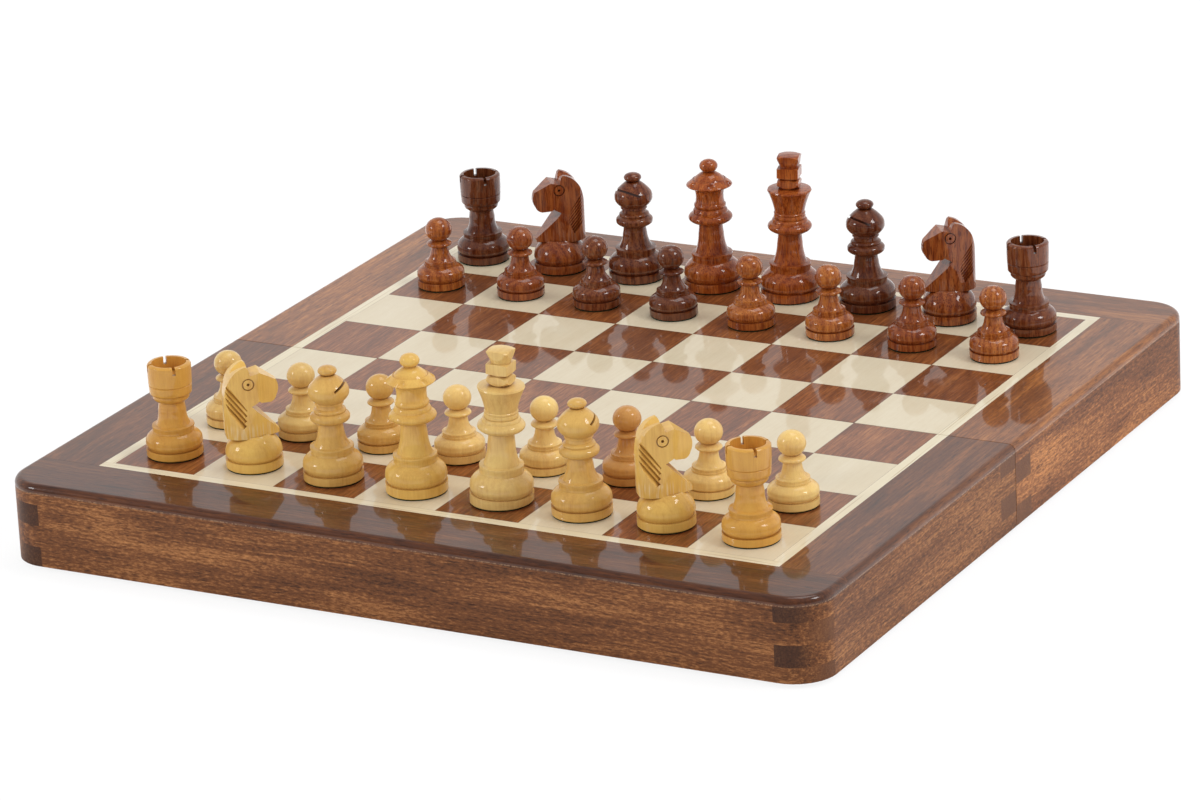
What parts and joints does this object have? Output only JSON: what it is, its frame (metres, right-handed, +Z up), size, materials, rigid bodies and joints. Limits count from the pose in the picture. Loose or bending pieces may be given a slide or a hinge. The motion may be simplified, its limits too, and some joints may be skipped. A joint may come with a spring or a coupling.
{
  "type": "folding chess box",
  "caption": "Wooden folding chess box, open as the playing board, with turned and carved men standing on their squares, lined cells inside and hinges at the seam.",
  "frame": {"origin": "middle of the open board, at the height of the lowest point of the hinge knuckles", "axes": "+Z up out of the playing surface, +X along the ranks from file a to file h, +Y from the light men to the dark men"},
  "size_m": [0.305, 0.305, 0.0843],
  "materials": {
    "border_veneer": "gloss lacquer",
    "pale_line_wood": "gloss lacquer",
    "dark_square_wood": "gloss lacquer",
    "light_square_wood": "gloss lacquer",
    "panel_wood": "raw plywood",
    "wall_wood": "satin lacquer",
    "felt": "felt",
    "magnet_steel": "nickel plated",
    "hinge_brass": "satin",
    "pin_steel": "plain",
    "light_men_wood": "gloss lacquer",
    "dark_men_wood": "gloss lacquer"
  },
  "bodies": {
    "front_half": {"front_border": "border_veneer", "front_pale_line": "pale_line_wood", "front_dark_squares": "dark_square_wood", "front_light_squares": "light_square_wood", "front_panel": "panel_wood", "front_outer_wall": "wall_wood", "front_side_walls": "wall_wood", "front_seam_wall": "wall_wood", "front_lining": "felt", "front_tray": "felt", "front_magnets": "magnet_steel", "front_hinge_leaves": "hinge_brass", "front_hinge_screws": "hinge_brass", "hinge_pins": "pin_steel"},
    "rear_half": {"rear_border": "border_veneer", "rear_pale_line": "pale_line_wood", "rear_dark_squares": "dark_square_wood", "rear_light_squares": "light_square_wood", "rear_panel": "panel_wood", "rear_outer_wall": "wall_wood", "rear_side_walls": "wall_wood", "rear_seam_wall": "wall_wood", "rear_lining": "felt", "rear_tray": "felt", "rear_magnets": "magnet_steel", "rear_hinge_leaves": "hinge_brass", "rear_hinge_screws": "hinge_brass"},
    "light_rook_a": {"light_rook_a": "light_men_wood"},
    "light_knight_b": {"light_knight_b": "light_men_wood"},
    "light_bishop_c": {"light_bishop_c": "light_men_wood"},
    "light_queen_d": {"light_queen_d": "light_men_wood"},
    "light_king_e": {"light_king_e": "light_men_wood"},
    "light_bishop_f": {"light_bishop_f": "light_men_wood"},
    "light_knight_g": {"light_knight_g": "light_men_wood"},
    "light_rook_h": {"light_rook_h": "light_men_wood"},
    "light_pawn_a": {"light_pawn_a": "light_men_wood"},
    "light_pawn_b": {"light_pawn_b": "light_men_wood"},
    "light_pawn_c": {"light_pawn_c": "light_men_wood"},
    "light_pawn_d": {"light_pawn_d": "light_men_wood"},
    "light_pawn_e": {"light_pawn_e": "light_men_wood"},
    "light_pawn_f": {"light_pawn_f": "light_men_wood"},
    "light_pawn_g": {"light_pawn_g": "light_men_wood"},
    "light_pawn_h": {"light_pawn_h": "light_men_wood"},
    "dark_rook_a": {"dark_rook_a": "dark_men_wood"},
    "dark_knight_b": {"dark_knight_b": "dark_men_wood"},
    "dark_bishop_c": {"dark_bishop_c": "dark_men_wood"},
    "dark_queen_d": {"dark_queen_d": "dark_men_wood"},
    "dark_king_e": {"dark_king_e": "dark_men_wood"},
    "dark_bishop_f": {"dark_bishop_f": "dark_men_wood"},
    "dark_knight_g": {"dark_knight_g": "dark_men_wood"},
    "dark_rook_h": {"dark_rook_h": "dark_men_wood"},
    "dark_pawn_a": {"dark_pawn_a": "dark_men_wood"},
    "dark_pawn_b": {"dark_pawn_b": "dark_men_wood"},
    "dark_pawn_c": {"dark_pawn_c": "dark_men_wood"},
    "dark_pawn_d": {"dark_pawn_d": "dark_men_wood"},
    "dark_pawn_e": {"dark_pawn_e": "dark_men_wood"},
    "dark_pawn_f": {"dark_pawn_f": "dark_men_wood"},
    "dark_pawn_g": {"dark_pawn_g": "dark_men_wood"},
    "dark_pawn_h": {"dark_pawn_h": "dark_men_wood"}
  },
  "joints": [
    {"name": "board_fold", "type": "hinge", "parent": "front_half", "child": "rear_half", "pos_m": [0, 0, 0.0015], "axis": [-1, 0, 0], "range_deg": [0, 180]},
    {"name": "lift_light_rook_a", "type": "slide", "parent": "front_half", "child": "light_rook_a", "axis": [0, 0, 1], "range_m": [0, 0.08]},
    {"name": "lift_light_knight_b", "type": "slide", "parent": "front_half", "child": "light_knight_b", "axis": [0, 0, 1], "range_m": [0, 0.08]},
    {"name": "lift_light_bishop_c", "type": "slide", "parent": "front_half", "child": "light_bishop_c", "axis": [0, 0, 1], "range_m": [0, 0.08]},
    {"name": "lift_light_queen_d", "type": "slide", "parent": "front_half", "child": "light_queen_d", "axis": [0, 0, 1], "range_m": [0, 0.08]},
    {"name": "lift_light_king_e", "type": "slide", "parent": "front_half", "child": "light_king_e", "axis": [0, 0, 1], "range_m": [0, 0.08]},
    {"name": "lift_light_bishop_f", "type": "slide", "parent": "front_half", "child": "light_bishop_f", "axis": [0, 0, 1], "range_m": [0, 0.08]},
    {"name": "lift_light_knight_g", "type": "slide", "parent": "front_half", "child": "light_knight_g", "axis": [0, 0, 1], "range_m": [0, 0.08]},
    {"name": "lift_light_rook_h", "type": "slide", "parent": "front_half", "child": "light_rook_h", "axis": [0, 0, 1], "range_m": [0, 0.08]},
    {"name": "lift_light_pawn_a", "type": "slide", "parent": "front_half", "child": "light_pawn_a", "axis": [0, 0, 1], "range_m": [0, 0.08]},
    {"name": "lift_light_pawn_b", "type": "slide", "parent": "front_half", "child": "light_pawn_b", "axis": [0, 0, 1], "range_m": [0, 0.08]},
    {"name": "lift_light_pawn_c", "type": "slide", "parent": "front_half", "child": "light_pawn_c", "axis": [0, 0, 1], "range_m": [0, 0.08]},
    {"name": "lift_light_pawn_d", "type": "slide", "parent": "front_half", "child": "light_pawn_d", "axis": [0, 0, 1], "range_m": [0, 0.08]},
    {"name": "lift_light_pawn_e", "type": "slide", "parent": "front_half", "child": "light_pawn_e", "axis": [0, 0, 1], "range_m": [0, 0.08]},
    {"name": "lift_light_pawn_f", "type": "slide", "parent": "front_half", "child": "light_pawn_f", "axis": [0, 0, 1], "range_m": [0, 0.08]},
    {"name": "lift_light_pawn_g", "type": "slide", "parent": "front_half", "child": "light_pawn_g", "axis": [0, 0, 1], "range_m": [0, 0.08]},
    {"name": "lift_light_pawn_h", "type": "slide", "parent": "front_half", "child": "light_pawn_h", "axis": [0, 0, 1], "range_m": [0, 0.08]},
    {"name": "lift_dark_rook_a", "type": "slide", "parent": "rear_half", "child": "dark_rook_a", "axis": [0, 0, 1], "range_m": [0, 0.08]},
    {"name": "lift_dark_knight_b", "type": "slide", "parent": "rear_half", "child": "dark_knight_b", "axis": [0, 0, 1], "range_m": [0, 0.08]},
    {"name": "lift_dark_bishop_c", "type": "slide", "parent": "rear_half", "child": "dark_bishop_c", "axis": [0, 0, 1], "range_m": [0, 0.08]},
    {"name": "lift_dark_queen_d", "type": "slide", "parent": "rear_half", "child": "dark_queen_d", "axis": [0, 0, 1], "range_m": [0, 0.08]},
    {"name": "lift_dark_king_e", "type": "slide", "parent": "rear_half", "child": "dark_king_e", "axis": [0, 0, 1], "range_m": [0, 0.08]},
    {"name": "lift_dark_bishop_f", "type": "slide", "parent": "rear_half", "child": "dark_bishop_f", "axis": [0, 0, 1], "range_m": [0, 0.08]},
    {"name": "lift_dark_knight_g", "type": "slide", "parent": "rear_half", "child": "dark_knight_g", "axis": [0, 0, 1], "range_m": [0, 0.08]},
    {"name": "lift_dark_rook_h", "type": "slide", "parent": "rear_half", "child": "dark_rook_h", "axis": [0, 0, 1], "range_m": [0, 0.08]},
    {"name": "lift_dark_pawn_a", "type": "slide", "parent": "rear_half", "child": "dark_pawn_a", "axis": [0, 0, 1], "range_m": [0, 0.08]},
    {"name": "lift_dark_pawn_b", "type": "slide", "parent": "rear_half", "child": "dark_pawn_b", "axis": [0, 0, 1], "range_m": [0, 0.08]},
    {"name": "lift_dark_pawn_c", "type": "slide", "parent": "rear_half", "child": "dark_pawn_c", "axis": [0, 0, 1], "range_m": [0, 0.08]},
    {"name": "lift_dark_pawn_d", "type": "slide", "parent": "rear_half", "child": "dark_pawn_d", "axis": [0, 0, 1], "range_m": [0, 0.08]},
    {"name": "lift_dark_pawn_e", "type": "slide", "parent": "rear_half", "child": "dark_pawn_e", "axis": [0, 0, 1], "range_m": [0, 0.08]},
    {"name": "lift_dark_pawn_f", "type": "slide", "parent": "rear_half", "child": "dark_pawn_f", "axis": [0, 0, 1], "range_m": [0, 0.08]},
    {"name": "lift_dark_pawn_g", "type": "slide", "parent": "rear_half", "child": "dark_pawn_g", "axis": [0, 0, 1], "range_m": [0, 0.08]},
    {"name": "lift_dark_pawn_h", "type": "slide", "parent": "rear_half", "child": "dark_pawn_h", "axis": [0, 0, 1], "range_m": [0, 0.08]}
  ]
}
